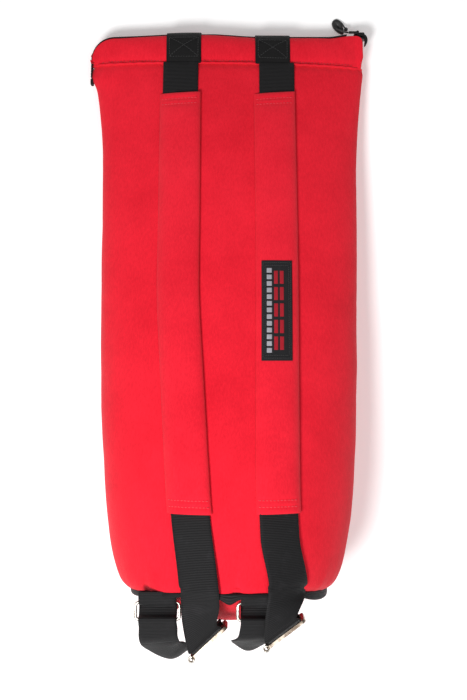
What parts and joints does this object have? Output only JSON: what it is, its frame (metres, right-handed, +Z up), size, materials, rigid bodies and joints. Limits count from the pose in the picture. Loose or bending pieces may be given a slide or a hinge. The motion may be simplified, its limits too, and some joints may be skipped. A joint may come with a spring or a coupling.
{
  "type": "padded carry bag with shoulder straps",
  "caption": "Padded round-base carry bag of red canvas with a flattened zip mouth, two padded shoulder straps, strap adjusters and base rings.",
  "frame": {"origin": "on the flat patch that the bag rests on, under its middle", "axes": "+Y along the bag towards its zip mouth, +Z up through its back, +X towards the right strap"},
  "size_m": [0.3207, 0.7135, 0.2047],
  "materials": {
    "red_canvas": "matt cotton canvas",
    "foam": "soft foam",
    "lining_cloth": "smooth woven lining",
    "black_webbing": "ribbed webbing",
    "zip_black": "woven tape and coil",
    "black_cord": "braided cord",
    "board": "stiff sheet",
    "label_cloth": "woven patch",
    "nickel_steel": "nickel plate"
  },
  "bodies": {
    "bag": {"back_panel": "red_canvas", "back_foam": "foam", "front_panel": "red_canvas", "front_foam": "foam", "lining": "lining_cloth", "mouth_band": "red_canvas", "mouth_band_foam": "foam", "mouth_lining": "lining_cloth", "top_seam_piping": "red_canvas", "base_lining": "lining_cloth", "base_board": "board", "base_foam": "foam", "base_panel": "red_canvas", "base_binding": "black_webbing", "front_zip_tape": "zip_black", "front_zip_teeth": "zip_black", "side_zip_tape": "zip_black", "zip_end_tab": "zip_black", "left_ring_tab": "black_webbing", "right_ring_tab": "black_webbing"},
    "mouth_flap": {"flap_panel": "red_canvas", "flap_foam": "foam", "flap_lining": "lining_cloth", "back_zip_tape": "zip_black", "back_zip_teeth": "zip_black", "left_anchor_patch": "black_webbing", "right_anchor_patch": "black_webbing"},
    "zip_runner": {"zip_slider": "nickel_steel"},
    "zip_pull": {"zip_pull_tab": "nickel_steel", "pull_cord": "black_cord", "pull_knot": "black_cord"},
    "left_strap": {"left_upper_webbing": "black_webbing", "left_sleeve": "red_canvas", "left_sleeve_foam": "foam", "left_lower_webbing": "black_webbing", "left_free_webbing": "black_webbing", "left_return_loop": "black_webbing"},
    "left_glide": {"left_glide_frame": "nickel_steel", "left_glide_bar": "nickel_steel"},
    "left_ring_link": {"left_ring": "nickel_steel"},
    "right_strap": {"right_upper_webbing": "black_webbing", "right_sleeve": "red_canvas", "right_sleeve_foam": "foam", "right_lower_webbing": "black_webbing", "right_free_webbing": "black_webbing", "right_return_loop": "black_webbing", "sleeve_label": "label_cloth"},
    "right_glide": {"right_glide_frame": "nickel_steel", "right_glide_bar": "nickel_steel"},
    "right_ring_link": {"right_ring": "nickel_steel"}
  },
  "joints": [
    {"name": "flap_hinge", "type": "hinge", "parent": "bag", "child": "mouth_flap", "pos_m": [0, 0.3318, 0.0445], "axis": [1, 0, 0], "range_deg": [0, 75]},
    {"name": "zip_run", "type": "slide", "parent": "bag", "child": "zip_runner", "axis": [1, 0, 0], "range_m": [-0.29, 0]},
    {"name": "pull_swing", "type": "hinge", "parent": "zip_runner", "child": "zip_pull", "pos_m": [0.15, 0.3721, 0.0205], "axis": [0, 0, -1], "range_deg": [0, 150]},
    {"name": "left_strap_lift", "type": "hinge", "parent": "bag", "child": "left_strap", "pos_m": [-0.055, 0.3285, 0.044], "axis": [-1, 0, 0], "range_deg": [0, 8], "deforming": ["left_free_webbing", "left_return_loop"]},
    {"name": "left_glide_slide", "type": "slide", "parent": "left_strap", "child": "left_glide", "axis": [0, 0, 1], "range_m": [-0.012, 0.01]},
    {"name": "left_ring_swing", "type": "hinge", "parent": "bag", "child": "left_ring_link", "pos_m": [-0.073, -0.25884, 0.172], "axis": [1, 0, 0], "range_deg": [-45, 60]},
    {"name": "right_strap_lift", "type": "hinge", "parent": "bag", "child": "right_strap", "pos_m": [0.052, 0.3285, 0.044], "axis": [-1, 0, 0], "range_deg": [0, 8], "deforming": ["right_free_webbing", "right_return_loop"]},
    {"name": "right_glide_slide", "type": "slide", "parent": "right_strap", "child": "right_glide", "axis": [0, 0, 1], "range_m": [-0.012, 0.01]},
    {"name": "right_ring_swing", "type": "hinge", "parent": "bag", "child": "right_ring_link", "pos_m": [0.032, -0.25705, 0.184], "axis": [1, 0, 0], "range_deg": [-45, 60]}
  ]
}
